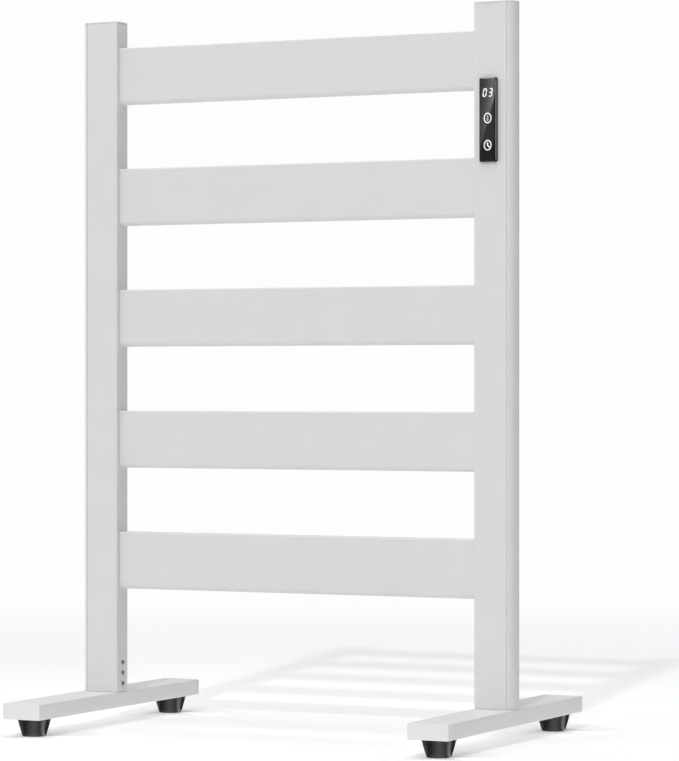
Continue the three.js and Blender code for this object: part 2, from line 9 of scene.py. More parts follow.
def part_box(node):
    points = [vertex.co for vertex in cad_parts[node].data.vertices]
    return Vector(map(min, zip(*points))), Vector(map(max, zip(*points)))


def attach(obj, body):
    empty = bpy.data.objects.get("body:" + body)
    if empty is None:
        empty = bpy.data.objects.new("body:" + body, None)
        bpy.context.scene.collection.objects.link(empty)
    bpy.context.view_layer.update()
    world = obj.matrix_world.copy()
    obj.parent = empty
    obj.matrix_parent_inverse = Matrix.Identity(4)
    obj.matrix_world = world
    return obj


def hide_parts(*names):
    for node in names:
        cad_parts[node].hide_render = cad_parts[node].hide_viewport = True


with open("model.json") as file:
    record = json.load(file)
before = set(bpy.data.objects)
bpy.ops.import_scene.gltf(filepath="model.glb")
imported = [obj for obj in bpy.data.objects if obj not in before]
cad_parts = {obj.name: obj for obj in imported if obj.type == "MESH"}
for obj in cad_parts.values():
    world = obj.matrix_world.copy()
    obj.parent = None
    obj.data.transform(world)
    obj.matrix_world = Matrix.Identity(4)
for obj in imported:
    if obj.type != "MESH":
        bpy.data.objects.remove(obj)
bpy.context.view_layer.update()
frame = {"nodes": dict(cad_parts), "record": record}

# A free-standing towel warmer rack. Lengths are in millimetres where a name says so or where they shape a
# section, and in metres everywhere else. +X runs along the slats, the front faces -Y, +Z is up.

MM = 0.001
SIDES = {"left": -1, "right": 1}
ENDS = {"front": -1, "rear": 1}
SLATS = range(1, 6)
SCREWS = range(1, 4)

# Sections, in millimetres.
POST_GAP = 480.0       # between the inner faces of the posts
POST_FLAT = 41.8       # from the inner face to the start of the rounded outer side
POST_CORNER = 1.6
POST_WALL = 1.4
GROOVE_WIDTH = 1.1     # the line where the flat front meets the rounded side
GROOVE_DEPTH = 0.9
SLAT_EDGE = 5.5
SLAT_TOP_EDGE = 2.0    # the top long edges are tighter than the bottom ones
SLAT_WALL = 1.2
BAR_EDGE = 1.6
BAR_WALL = 1.6
CAP_SKIRT = 12.0       # how far a post cap reaches into its post
BAR_SKIRT = 10.0       # how far an end cap reaches into its bar
TONGUE_HEIGHT = 50.6   # of the window in the post for the tongue of a slat's plug
TONGUE_DEPTH = 9.0
SCREW_HOLE = 2.1       # the radius, as for the next two
GLAND_HOLE = 6.3
STUD_HOLE = 4.7
PANEL_CORNER = 2.0
PANEL_BEVEL = 1.2      # the width of the ground edge of the glass
PANEL_BEVEL_DEPTH = 0.96
DISPLAY_UP = 31.5      # from the middle of the panel
HEAT_KEY_UP = 1.8
TIMER_KEY_UP = -29.8


# ------------------------------------------------------------------ camera

CAMERA_TURN = math.radians(26.337)
CAMERA_DISTANCE = 4.089
CAMERA_HEIGHT = 0.4177
CAMERA_LENS = 162.07   # mm, on a 36 mm sensor
CAMERA_SHIFT = 0.0064
LOOK_AT_X = 0.0585


def add_object(name, data):
    made = bpy.data.objects.new(name, data)
    bpy.context.scene.collection.objects.link(made)
    return made


def camera_place():
    back = Vector((math.sin(CAMERA_TURN), -math.cos(CAMERA_TURN), 0))
    return Vector((LOOK_AT_X, 0, CAMERA_HEIGHT)) + back * CAMERA_DISTANCE


def make_camera():
    data = bpy.data.cameras.new("camera")
    data.sensor_width = 36
    data.lens = CAMERA_LENS
    data.shift_y = CAMERA_SHIFT
    data.clip_end = 60
    camera = add_object("camera", data)
    camera.location = camera_place()
    camera.rotation_euler = (math.radians(90), 0, CAMERA_TURN)
    bpy.context.scene.camera = camera


# ------------------------------------------------------------------ mesh building

SMOOTH_BELOW = math.radians(32)


def piece_from(name, bm, material):
    """A mesh object from a bmesh whose points are in millimetres, smooth but for its real edges."""
    for vert in bm.verts:
        vert.co *= MM
    bmesh.ops.recalc_face_normals(bm, faces=bm.faces)
    mesh = bpy.data.meshes.new(name)
    bm.to_mesh(mesh)
    bm.free()
    return finish_piece(name, mesh, material)


def finish_piece(name, mesh, material):
    mesh.materials.clear()
    mesh.materials.append(material)
    mesh.shade_smooth()
    mesh.set_sharp_from_angle(angle=SMOOTH_BELOW)
    piece = add_object(name, mesh)
    weighted = piece.modifiers.new("weighted_normals", "WEIGHTED_NORMAL")
    weighted.keep_sharp = True
    return piece


def loft(rings, wrap=False, bm=None):
    """A skin through rings of equal length. Its two ends are filled, or with wrap joined to each other."""
    bm = bm or bmesh.new()
    rows = [[bm.verts.new(point) for point in ring] for ring in rings]
    pairs = list(zip(rows, rows[1:]))
    if wrap:
        pairs.append((rows[-1], rows[0]))
    count = len(rings[0])
    for low, high in pairs:
        for i in range(count):
            j = (i + 1) % count
            bm.faces.new((low[i], low[j], high[j], high[i]))
    if not wrap:
        bm.faces.new(rows[0])
        bm.faces.new(rows[-1])
    return bm


def lathe(profile, place, segments=64, wrap=False, ripple=None):
    """A turned skin. profile holds (radius, height); place(x, y, height) puts a point; ripple(angle, radius)
    may vary the radius round the turn."""
    rings = []
    for radius, height in profile:
        ring = []
        for i in range(segments):
            angle = 2 * math.pi * i / segments
            r = ripple(angle, radius) if ripple else radius
            ring.append(place(r * math.cos(angle), r * math.sin(angle), height))
        rings.append(ring)
    return loft(rings, wrap)


def box_bm(low, high):
    bm = bmesh.new()
    bmesh.ops.create_cube(bm, size=1)
    for vert in bm.verts:
        vert.co = Vector([(low[k] + high[k]) / 2 + vert.co[k] * (high[k] - low[k]) for k in range(3)])
    return bm


def rod_bm(axis, centre, radius, start, end, segments=32):
    """A round cutter along x, y or z, through a point."""
    def place(u, v, along):
        if axis == "x":
            return Vector((along, centre.y + u, centre.z + v))
        if axis == "y":
            return Vector((centre.x + u, along, centre.z + v))
        return Vector((centre.x + u, centre.y + v, along))

    return lathe([(radius, start), (radius, end)], place, segments)


def disc_mesh(name, radius, segments):
    """A flat round sheet, with its radius in metres."""
    bm = bmesh.new()
    bmesh.ops.create_circle(bm, cap_ends=True, segments=segments, radius=radius)
    mesh = bpy.data.meshes.new(name)
    bm.to_mesh(mesh)
    bm.free()
    return mesh


def cut(piece, cutters):
    """Cuts shapes, given as bmeshes in millimetres, out of a piece."""
    tools = [piece_from(f"cutter_{i}", bm, piece.data.materials[0]) for i, bm in enumerate(cutters)]
    piece.modifiers.clear()
    for tool in tools:
        tool.modifiers.clear()
        modifier = piece.modifiers.new("cut", "BOOLEAN")
        modifier.operation = "DIFFERENCE"
        modifier.solver = "EXACT"
        modifier.object = tool
    graph = bpy.context.evaluated_depsgraph_get()
    mesh = bpy.data.meshes.new_from_object(piece.evaluated_get(graph))
    name, material = piece.name, piece.data.materials[0]
    bpy.data.objects.remove(piece)
    for tool in tools:
        bpy.data.objects.remove(tool)
    return finish_piece(name, mesh, material)


def install(piece, body, slot, *nodes):
    """The piece rides on a body and stands for CAD nodes, which it hides; its record slot is not used."""
    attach(piece, body)
    if nodes:
        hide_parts(*nodes)
    return piece


def box_mm(name):
    """The low and high corners of a CAD node, in millimetres."""
    low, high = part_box(name)
    return low / MM, high / MM


# ------------------------------------------------------------------ outlines, lists of (x, y) in millimetres

def arc(cx, cy, rx, ry, start, end, steps):
    """Points on an ellipse, from one angle to another in degrees."""
    points = []
    for i in range(steps + 1):
        angle = math.radians(start + (end - start) * i / steps)
        points.append((cx + rx * math.cos(angle), cy + ry * math.sin(angle)))
    return points


def rounded_rectangle(width, height, radius, steps=8):
    x, y = width / 2 - radius, height / 2 - radius
    return (
        arc(x, -y, radius, radius, -90, 0, steps)
        + arc(x, y, radius, radius, 0, 90, steps)
        + arc(-x, y, radius, radius, 90, 180, steps)
        + arc(-x, -y, radius, radius, 180, 270, steps)
    )


def post_outline(width, depth, inset=0.0, groove=GROOVE_DEPTH):
    """The D section of a post, x measured from its inner face. inset shrinks it, as for the inside."""
    half = depth / 2 - inset
    corner = max(POST_CORNER - inset, 0.4)
    edge = POST_FLAT - GROOVE_WIDTH / 2
    side = arc(POST_FLAT, 0, width - POST_FLAT - inset, half, -88, 88, 36)
    floor = -half + groove
    front = [(edge, -half), (edge + 0.30, floor), (edge + 0.75, floor)]  # down into the groove and along it
    rear = [(x, -y) for x, y in reversed(front)]
    return (
        front
        + side
        + rear
        + arc(inset + corner, half - corner, corner, corner, 90, 180, 6)
        + arc(inset + corner, -half + corner, corner, corner, 180, 270, 6)
    )


# ------------------------------------------------------------------ materials

def new_material(name):
    material = bpy.data.materials.new(name)
    material.use_nodes = True
    tree = material.node_tree
    return material, tree, tree.nodes["Principled BSDF"]


def node(tree, kind, inputs=None, **settings):
    made = tree.nodes.new(kind)
    for key, value in settings.items():
        setattr(made, key, value)
    for key, value in (inputs or {}).items():
        if isinstance(value, bpy.types.NodeSocket):
            tree.links.new(value, made.inputs[key])
        else:
            made.inputs[key].default_value = value
    return made


def noise(tree, position, scale, detail=3.0, roughness=0.55):
    inputs = {"Vector": position, "Scale": scale, "Detail": detail, "Roughness": roughness}
    return node(tree, "ShaderNodeTexNoise", inputs).outputs["Fac"]


def spread(tree, value, low, high, from_low=0.3, from_high=0.7, kind="LINEAR"):
    """A value mapped to a range."""
    inputs = {"Value": value, "From Min": from_low, "From Max": from_high, "To Min": low, "To Max": high}
    return node(tree, "ShaderNodeMapRange", inputs, interpolation_type=kind).outputs["Result"]


def blend_colours(tree, factor, first, second):
    made = node(tree, "ShaderNodeMix", {"Factor": factor}, data_type="RGBA")
    for socket, value in ((made.inputs[6], first), (made.inputs[7], second)):
        if isinstance(value, bpy.types.NodeSocket):
            tree.links.new(value, socket)
        else:
            socket.default_value = (*value, 1)
    return made.outputs[2]


def compute(tree, operation, *values):
    return node(tree, "ShaderNodeMath", dict(enumerate(values)), operation=operation).outputs[0]


def multiply(tree, a, b):
    return compute(tree, "MULTIPLY", a, b)


def object_position(tree):
    return node(tree, "ShaderNodeTexCoord").outputs["Object"]


def relief(tree, height, depth, strength=1.0, under=None):
    """The normal of a relief, from a texture and a depth in millimetres. under is a coarser relief."""
    inputs = {"Strength": strength, "Distance": depth * MM, "Height": height}
    if under is not None:
        inputs["Normal"] = under
    return node(tree, "ShaderNodeBump", inputs).outputs["Normal"]


def edge_mask(tree, radius):
    """1 on convex and concave edges within a radius, 0 on flat surfaces."""
    rounded = node(tree, "ShaderNodeBevel", {"Radius": radius}, samples=4)
    flat = node(tree, "ShaderNodeNewGeometry").outputs["Normal"]
    inputs = {0: rounded.outputs["Normal"], 1: flat}
    along = node(tree, "ShaderNodeVectorMath", inputs, operation="DOT_PRODUCT").outputs["Value"]
    return spread(tree, along, 1.0, 0.0, 0.93, 0.999)


def surface(name, colour, roughness, peel, wear, specular=0.5, metallic=0.0):
    """A coated, moulded or plated surface.

    colour: (main, second tone), mottled at about 40 mm.
    roughness: (low, high), varied in patches.
    peel: (size in mm, height in mm, fine grain size in mm, fine grain height in mm) of the relief.
    wear: (colour of worn edges, radius in mm, strength).
    """
    material, tree, shader = new_material(name)
    position = object_position(tree)

    patches = noise(tree, position, 25.0)
    base = blend_colours(tree, spread(tree, patches, 0.0, 1.0), *colour)
    worn_colour, worn_radius, worn_strength = wear
    scuffs = spread(tree, noise(tree, position, 320.0, 4.0, 0.7), 0.0, worn_strength, 0.42, 0.62)
    worn = multiply(tree, edge_mask(tree, worn_radius * MM), scuffs)
    tree.links.new(blend_colours(tree, worn, base, worn_colour), shader.inputs["Base Color"])

    smudges = noise(tree, position, 60.0, 5.0, 0.65)
    tree.links.new(spread(tree, smudges, *roughness), shader.inputs["Roughness"])

    peel_size, peel_height, grain_size, grain_height = peel
    wave = noise(tree, position, 1 / (peel_size * MM), 1.0, 0.4)
    grain = noise(tree, position, 1 / (grain_size * MM), 2.0, 0.6)
    waves = relief(tree, wave, peel_height)
    tree.links.new(relief(tree, grain, grain_height, under=waves), shader.inputs["Normal"])

    shader.inputs["Specular IOR Level"].default_value = specular
    shader.inputs["Metallic"].default_value = metallic
    return material


def rubber_surface():
    """Moulded black rubber, greyer with dust towards the floor."""
    pale, dark = (0.022, 0.022, 0.023), (0.014, 0.014, 0.015)
    wear = ((0.075, 0.073, 0.070), 0.4, 0.5)
    material = surface("foot_rubber", (dark, pale), (0.16, 0.26), (2.2, 0.010, 0.35, 0.004), wear)
    tree = material.node_tree
    shader = tree.nodes["Principled BSDF"]
    position = object_position(tree)
    height = node(tree, "ShaderNodeSeparateXYZ", {0: position}).outputs["Z"]
    low = spread(tree, height, 0.5, 0.0, 0.0, 0.005)
    dust = multiply(tree, low, spread(tree, noise(tree, position, 240.0, 5.0, 0.7), 0.0, 1.0))
    base = shader.inputs["Base Color"].links[0].from_socket
    dusty = blend_colours(tree, dust, base, (0.12, 0.115, 0.11))
    tree.links.new(dusty, shader.inputs["Base Color"])
    return material


def glass_surface():
    """Black-backed polished glass with faint finger smears and dust."""
    material, tree, shader = new_material("panel_glass")
    position = object_position(tree)
    stretched = node(tree, "ShaderNodeMapping", {"Vector": position, "Scale": (1.0, 1.0, 0.45)}).outputs[0]
    smears = spread(tree, noise(tree, stretched, 130.0, 4.0, 0.6), 0.0, 1.0, 0.45, 0.7)
    specks = spread(tree, noise(tree, position, 1900.0, 1.0), 0.0, 1.0, 0.70, 0.78)
    tint = blend_colours(tree, specks, (0.007, 0.007, 0.008), (0.035, 0.035, 0.035))
    tree.links.new(tint, shader.inputs["Base Color"])
    tree.links.new(spread(tree, smears, 0.008, 0.04, 0.0, 1.0), shader.inputs["Roughness"])
    ripple = noise(tree, position, 40.0, 1.0)
    tree.links.new(relief(tree, ripple, 0.006, 0.6), shader.inputs["Normal"])
    shader.inputs["Specular IOR Level"].default_value = 0.3
    return material


def lit_marks_surface(name, dimmest, brightest):
    """White lit segments, a little uneven as the light behind them is."""
    material, tree, shader = new_material(name)
    position = object_position(tree)
    uneven = spread(tree, noise(tree, position, 420.0, 2.0), dimmest, brightest)
    tree.links.new(uneven, shader.inputs["Emission Strength"])
    shader.inputs["Emission Color"].default_value = (0.97, 0.99, 1.0, 1)
    shader.inputs["Base Color"].default_value = (0.3, 0.3, 0.3, 1)
    tree.links.new(spread(tree, noise(tree, position, 900.0), 0.3, 0.5), shader.inputs["Roughness"])
    return material


def board_surface():
    """Green solder mask over a lattice of tracks, with bright pads."""
    material, tree, shader = new_material("green_board")
    position = object_position(tree)
    facing = node(tree, "ShaderNodeMapping", {"Vector": position, "Rotation": (math.pi / 2, 0, 0)}).outputs[0]
    inputs = {
        "Vector": facing,
        "Scale": 260.0,
        "Mortar Size": 0.03,
        "Color1": (0.010, 0.075, 0.030, 1),
        "Color2": (0.012, 0.095, 0.040, 1),
        "Mortar": (0.030, 0.190, 0.085, 1),
    }
    tracks = node(tree, "ShaderNodeTexBrick", inputs)
    cells = node(tree, "ShaderNodeTexVoronoi", {"Vector": position, "Scale": 480.0})
    pads = spread(tree, cells.outputs["Distance"], 1.0, 0.0, 0.10, 0.14)
    base = blend_colours(tree, pads, tracks.outputs["Color"], (0.70, 0.68, 0.62))
    tree.links.new(base, shader.inputs["Base Color"])
    tree.links.new(spread(tree, pads, 0.42, 0.25, 0.0, 1.0), shader.inputs["Roughness"])
    tree.links.new(relief(tree, tracks.outputs["Fac"], 0.04, 0.8), shader.inputs["Normal"])
    return material


def make_materials():
    return {
        "white_coat": surface(
            "white_powder_coat", ((0.724, 0.724, 0.722), (0.740, 0.740, 0.738)), (0.36, 0.46),
            (1.9, 0.020, 0.45, 0.005), ((0.78, 0.78, 0.775), 0.5, 0.5),
        ),
        "white_plastic": surface(
            "white_plastic", ((0.719, 0.719, 0.716), (0.735, 0.735, 0.732)), (0.40, 0.52),
            (0.8, 0.008, 0.25, 0.008), ((0.77, 0.77, 0.76), 0.4, 0.5),
        ),
        # The foot bars and their end caps take lighter copies of the white coat and the white plastic:
        # painted light, for the brighter light they get near the floor.
        "lighter_painted_coat_for_bars": surface(
            "coat_painted_lighter_on_bars", ((0.785, 0.785, 0.782), (0.799, 0.799, 0.797)), (0.36, 0.46),
            (1.9, 0.020, 0.45, 0.005), ((0.82, 0.82, 0.815), 0.5, 0.5),
        ),
        "lighter_painted_plastic_for_bar_caps": surface(
            "plastic_painted_lighter_on_bar_caps", ((0.778, 0.778, 0.775), (0.793, 0.793, 0.790)), (0.40, 0.52),
            (0.8, 0.008, 0.25, 0.008), ((0.81, 0.81, 0.80), 0.4, 0.5),
        ),
        "foot_rubber": rubber_surface(),
        "zinc_steel": surface(
            "zinc_plate", ((0.50, 0.51, 0.53), (0.60, 0.61, 0.63)), (0.24, 0.42),
            (2.4, 0.010, 0.30, 0.010), ((0.72, 0.72, 0.73), 0.3, 0.8), metallic=1.0,
        ),
        # The screws take a darker copy of the zinc plate: painted shade, for the dark look that shade gives
        # their heads.
        "screw_zinc_painted_darker": surface(
            "zinc_painted_darker_for_screws", ((0.27, 0.275, 0.28), (0.36, 0.365, 0.37)), (0.18, 0.30),
            (1.6, 0.006, 0.25, 0.006), ((0.85, 0.85, 0.86), 0.4, 1.0), metallic=1.0,
        ),
        "panel_glass": glass_surface(),
        "panel_housing": surface(
            "black_plastic", ((0.006, 0.006, 0.007), (0.010, 0.010, 0.011)), (0.28, 0.42),
            (1.0, 0.006, 0.25, 0.008), ((0.04, 0.04, 0.04), 0.25, 0.5), specular=0.1,
        ),
        "display_white": lit_marks_surface("lit_marks", 0.82, 0.95),
        "dim_marks": lit_marks_surface("dim_marks", 0.16, 0.24),
        "green_board": board_surface(),
        "heating_silicone": surface(
            "grey_silicone", ((0.40, 0.38, 0.35), (0.48, 0.46, 0.43)), (0.45, 0.62),
            (2.0, 0.03, 0.4, 0.015), ((0.55, 0.53, 0.50), 0.4, 0.5),
        ),
        "ceramic": surface(
            "cream_ceramic", ((0.72, 0.68, 0.60), (0.80, 0.76, 0.69)), (0.65, 0.85),
            (1.2, 0.04, 0.2, 0.03), ((0.86, 0.83, 0.77), 0.5, 0.8),
        ),
        "nylon": surface(
            "natural_nylon", ((0.62, 0.60, 0.55), (0.68, 0.66, 0.61)), (0.42, 0.58),
            (1.0, 0.01, 0.25, 0.012), ((0.74, 0.72, 0.68), 0.4, 0.6),
        ),
    }


def paint_cad_nodes(materials):
    """Every CAD node takes the material of its record slot."""
    for part in frame["record"]["subparts"]:
        shown = frame["nodes"][part["node"]]
        for socket in shown.material_slots:
            socket.material = materials[part["material_slot"]]


# ------------------------------------------------------------------ posts

def make_post(side, materials):
    low, high = box_mm(f"{side}_post")
    sign = SIDES[side]
    inner = low.x if side == "right" else high.x
    width, depth = high.x - low.x, high.y - low.y
    middle = (low.y + high.y) / 2

    def ring(z, inset=0.0, groove=GROOVE_DEPTH):
        outline = post_outline(width, depth, inset, groove)
        return [Vector((inner + sign * x, middle + y, z)) for x, y in outline]

    softening = 0.15
    rings = [
        ring(low.z, POST_WALL, 0.0), ring(low.z),
        ring(high.z - softening), ring(high.z, softening), ring(high.z, POST_WALL, 0.0),
    ]
    post = piece_from(f"coated_{side}_post", loft(rings, wrap=True), materials["white_coat"])

    cutters = []
    wall = sorted((inner - sign, inner + sign * (POST_WALL + 1)))
    for number in SLATS:
        slat_low, slat_high = box_mm(f"slat_{number}")
        z = (slat_low.z + slat_high.z) / 2
        window_low = (wall[0], -TONGUE_DEPTH / 2, z - TONGUE_HEIGHT / 2)
        window_high = (wall[1], TONGUE_DEPTH / 2, z + TONGUE_HEIGHT / 2)
        cutters.append(box_bm(window_low, window_high))
    for number in SCREWS:
        screw_low, screw_high = box_mm(f"{side}_post_screw_{number}")
        centre = (screw_low + screw_high) / 2
        cutters.append(rod_bm("x", centre, SCREW_HOLE, wall[0], wall[1]))
    if side == "right":
        housing_low, housing_high = box_mm("control_housing")
        lap = 2.2  # the flange of the housing reaches past its window by this much
        cutters.append(box_bm(
            (housing_low.x + lap - 0.3, low.y - 1, housing_low.z + lap),
            (housing_high.x - lap + 0.3, low.y + POST_WALL + 1, housing_high.z - lap),
        ))
        gland_low, gland_high = box_mm("supply_gland")
        centre = (gland_low + gland_high) / 2
        cutters.append(rod_bm("y", centre, GLAND_HOLE, high.y - POST_WALL - 1, high.y + 1))
    install(cut(post, cutters), "frame", "white_coat", f"{side}_post")


def make_post_cap(side, materials):
    low, high = box_mm(f"{side}_post_cap")
    sign = SIDES[side]
    inner = low.x if side == "right" else high.x
    width, depth = high.x - low.x, high.y - low.y
    plate = low.z + CAP_SKIRT

    def ring(z, inset=0.0, groove=GROOVE_DEPTH):
        outline = post_outline(width, depth, inset, groove)
        return [Vector((inner + sign * x, y, z)) for x, y in outline]

    skirt, hollow = POST_WALL + 0.3, POST_WALL + 2.0
    edge = 0.9
    rounding = []
    for angle in (math.radians(18 * i) for i in range(6)):
        z, inset = high.z - edge * (1 - math.sin(angle)), edge * (1 - math.cos(angle))
        rounding.append(ring(z, inset, GROOVE_DEPTH * math.cos(angle)))
    rings = (
        [ring(plate - 0.1, hollow, 0.0), ring(low.z, hollow, 0.0), ring(low.z, skirt, 0.0)]
        + [ring(plate, skirt, 0.0), ring(plate, 0.12), ring(plate + 0.12)]
        + rounding
    )
    cap = piece_from(f"moulded_{side}_post_cap", loft(rings), materials["white_plastic"])
    install(cap, "frame", "white_plastic", f"{side}_post_cap")


# ------------------------------------------------------------------ slats

def make_slat(number, materials):
    low, high = box_mm(f"slat_{number}")
    y, z = (low.y + high.y) / 2, (low.z + high.z) / 2
    depth, height = high.y - low.y, high.z - low.z
    reach = high.x + 0.2  # the ends close up to the posts

    def ring(x, inset):
        half_depth, half_height = depth / 2 - inset, height / 2 - inset
        low_edge, top_edge = SLAT_EDGE - inset, SLAT_TOP_EDGE - inset
        low_y, low_z = half_depth - low_edge, half_height - low_edge
        top_y, top_z = half_depth - top_edge, half_height - top_edge
        outline = (
            arc(low_y, -low_z, low_edge, low_edge, -90, 0, 12)
            + arc(top_y, top_z, top_edge, top_edge, 0, 90, 12)
            + arc(-top_y, top_z, top_edge, top_edge, 90, 180, 12)
            + arc(-low_y, -low_z, low_edge, low_edge, 180, 270, 12)
        )
        return [Vector((x, y + u, z + v)) for u, v in outline]

    rings = [
        ring(-reach, SLAT_WALL), ring(-reach, 0.2), ring(-reach + 0.2, 0.0),
        ring(reach - 0.2, 0.0), ring(reach, 0.2), ring(reach, SLAT_WALL),
    ]
    slat = piece_from(f"coated_slat_{number}", loft(rings, wrap=True), materials["white_coat"])
    install(slat, "frame", "white_coat", f"slat_{number}")


# ------------------------------------------------------------------ foot bars

def make_foot_bar(side, materials):
    low, high = box_mm(f"{side}_foot_bar")
    centre = (low + high) / 2
    width, height = high.x - low.x, high.z - low.z
    reach = high.y + 0.15

    def ring(y, inset):
        radius = max(BAR_EDGE - inset, 0.4)
        outline = rounded_rectangle(width - 2 * inset, height - 2 * inset, radius, 6)
        return [Vector((centre.x + u, y, centre.z + v)) for u, v in outline]

    rings = [
        ring(-reach, BAR_WALL), ring(-reach, 0.12), ring(-reach + 0.12, 0.0),
        ring(reach - 0.12, 0.0), ring(reach, 0.12), ring(reach, BAR_WALL),
    ]
    # The bar takes a lighter copy of the white coat: painted light, for the brighter light near the floor.
    bar = piece_from(f"coated_{side}_foot_bar", loft(rings, wrap=True), materials["lighter_painted_coat_for_bars"])
    cutters = []
    for end in ENDS:
        stud_low, stud_high = box_mm(f"foot_stud_{end}_{side}")
        stud = (stud_low + stud_high) / 2
        cutters.append(rod_bm("z", stud, STUD_HOLE, low.z - 1, low.z + BAR_WALL + 1))
    install(cut(bar, cutters), "frame", "white_coat", f"{side}_foot_bar")


def make_bar_cap(side, end, materials):
    low, high = box_mm(f"{side}_foot_{end}_cap")
    sign = ENDS[end]
    x, z = (low.x + high.x) / 2, (low.z + high.z) / 2
    width, height = high.x - low.x, high.z - low.z
    face = high.y if sign > 0 else low.y
    back = face - sign * 2.0

    def ring(y, inset):
        radius = max(BAR_EDGE - inset * 0.5, 0.4)
        outline = rounded_rectangle(width - 2 * inset, height - 2 * inset, radius, 6)
        return [Vector((x + u, y, z + v)) for u, v in outline]

    skirt, hollow = BAR_WALL + 0.3, BAR_WALL + 2.3
    edge = 0.7
    rounding = [
        ring(face - sign * edge * (1 - math.sin(angle)), edge * (1 - math.cos(angle)))
        for angle in (math.radians(18 * i) for i in range(6))
    ]
    inside = back - sign * BAR_SKIRT
    rings = (
        [ring(back + sign * 0.1, hollow), ring(inside, hollow), ring(inside, skirt), ring(back, skirt)]
        + [ring(back, 0.1), ring(back + sign * 0.1, 0.0)]
        + rounding
    )
    # The cap takes a lighter copy of the white plastic: painted light, for the brighter light near the floor.
    cap = piece_from(f"moulded_{side}_foot_{end}_cap", loft(rings), materials["lighter_painted_plastic_for_bar_caps"])
    install(cap, "frame", "white_plastic", f"{side}_foot_{end}_cap")


# ------------------------------------------------------------------ levelling feet

def make_rubber_foot(end, side, materials):
    """A tapered rubber foot with a moulded rim at the floor and a soft lip under the bar."""
    node_name = f"rubber_foot_{end}_{side}"
    low, high = box_mm(node_name)
    x, y = (low.x + high.x) / 2, (low.y + high.y) / 2
    height = high.z - low.z
    base_radius, top_radius = 14.4, (high.x - low.x) / 2
    rim, lip = 0.8, 0.7
    seat_radius, seat_depth = 10.4, 3.0
    bore_radius, bore_depth = 4.3, 12.0

    def place(u, v, along):
        return Vector((x + u, y + v, low.z + along))

    profile = [(base_radius - 5.0, 0.0), (base_radius - 0.9, 0.0)]
    profile += arc(base_radius - 0.9, rim, rim, rim, -80, -10, 6)
    start, stop = 1.2, height - 1.0
    for i in range(9):
        along = start + (stop - start) * i / 8
        profile.append((base_radius + (top_radius - base_radius) * (along - start) / (stop - start), along))
    profile += arc(top_radius - lip, height - lip, lip, lip, 5, 90, 6)
    profile += [(seat_radius, height), (seat_radius, height - seat_depth)]
    profile += [(bore_radius, height - seat_depth), (bore_radius, height - bore_depth)]
    foot = piece_from(f"moulded_{node_name}", lathe(profile, place, 96), materials["foot_rubber"])
    install(foot, f"foot_{end}_{side}", "foot_rubber", node_name)


THREAD_PITCH = 1.25
THREAD_DEPTH = 0.62
THREAD_STEP = 0.156    # between the rings that draw it


def make_foot_stud(end, side, materials):
    """The stud of a levelling foot, with a real helical thread above its flange."""
    node_name = f"foot_stud_{end}_{side}"
    low, high = box_mm(node_name)
    x, y = (low.x + high.x) / 2, (low.y + high.y) / 2
    radius, flange = 4.0, 10.0
    flange_low, flange_high = low.z + 9.0, low.z + 11.4
    segments = 36

    def ring(z, r, threaded=False):
        points = []
        for i in range(segments):
            angle = 2 * math.pi * i / segments
            phase = (z / THREAD_PITCH - i / segments) % 1
            here = r - THREAD_DEPTH * abs(2 * phase - 1) if threaded else r
            points.append(Vector((x + here * math.cos(angle), y + here * math.sin(angle), z)))
        return points

    rings = [ring(low.z, radius), ring(flange_low, radius), ring(flange_low, flange - 0.3)]
    rings += [ring(flange_low + 0.3, flange), ring(flange_high - 0.3, flange)]
    rings += [ring(flange_high, flange - 0.3), ring(flange_high, radius - THREAD_DEPTH)]
    start, stop = flange_high + 0.4, high.z - 0.9
    steps = round((stop - start) / THREAD_STEP)
    rings += [ring(start + (stop - start) * i / steps, radius, True) for i in range(steps + 1)]
    rings += [ring(high.z - 0.8, radius - THREAD_DEPTH), ring(high.z, radius - 1.2)]
    stud = piece_from(f"threaded_{node_name}", loft(rings), materials["zinc_steel"])
    install(stud, f"foot_{end}_{side}", "zinc_steel", node_name)


# ------------------------------------------------------------------ screws

def make_screw(side, number, materials):
    """A pan-head screw with a cross recess; its head is on the inner face of the post."""
    node_name = f"{side}_post_screw_{number}"
    low, high = box_mm(node_name)
    sign = SIDES[side]
    y, z = (low.y + high.y) / 2, (low.z + high.z) / 2
    inner = POST_GAP / 2
    tip, shank = 8.0, 1.7
    radius = (high.z - low.z) / 2
    head = (high.x - low.x) - tip - 0.1
    slot_reach, slot_half = 2.0, 0.55

    def place(u, v, along):
        return Vector((sign * (inner - along), y + u, z + v))

    profile = [(1.0, -tip), (shank, -tip + 1.2), (shank, 0.1), (radius - 0.15, 0.1), (radius, 0.25)]
    profile += arc(0, 0.75, radius, head - 0.65, 0, 81, 9)
    # The screw takes a darker copy of the zinc plate: painted shade on its head.
    screw = piece_from(f"pan_head_{node_name}", lathe(profile, place, 40), materials["screw_zinc_painted_darker"])
    near, far = sorted((sign * (inner - head - 1.5), sign * (inner - head + 1.2)))
    recess = [
        box_bm((near, y - half_y, z - half_z), (far, y + half_y, z + half_z))
        for half_y, half_z in ((slot_reach, slot_half), (slot_half, slot_reach))
    ]
    install(cut(screw, recess), "frame", "zinc_steel", node_name)


# ------------------------------------------------------------------ control

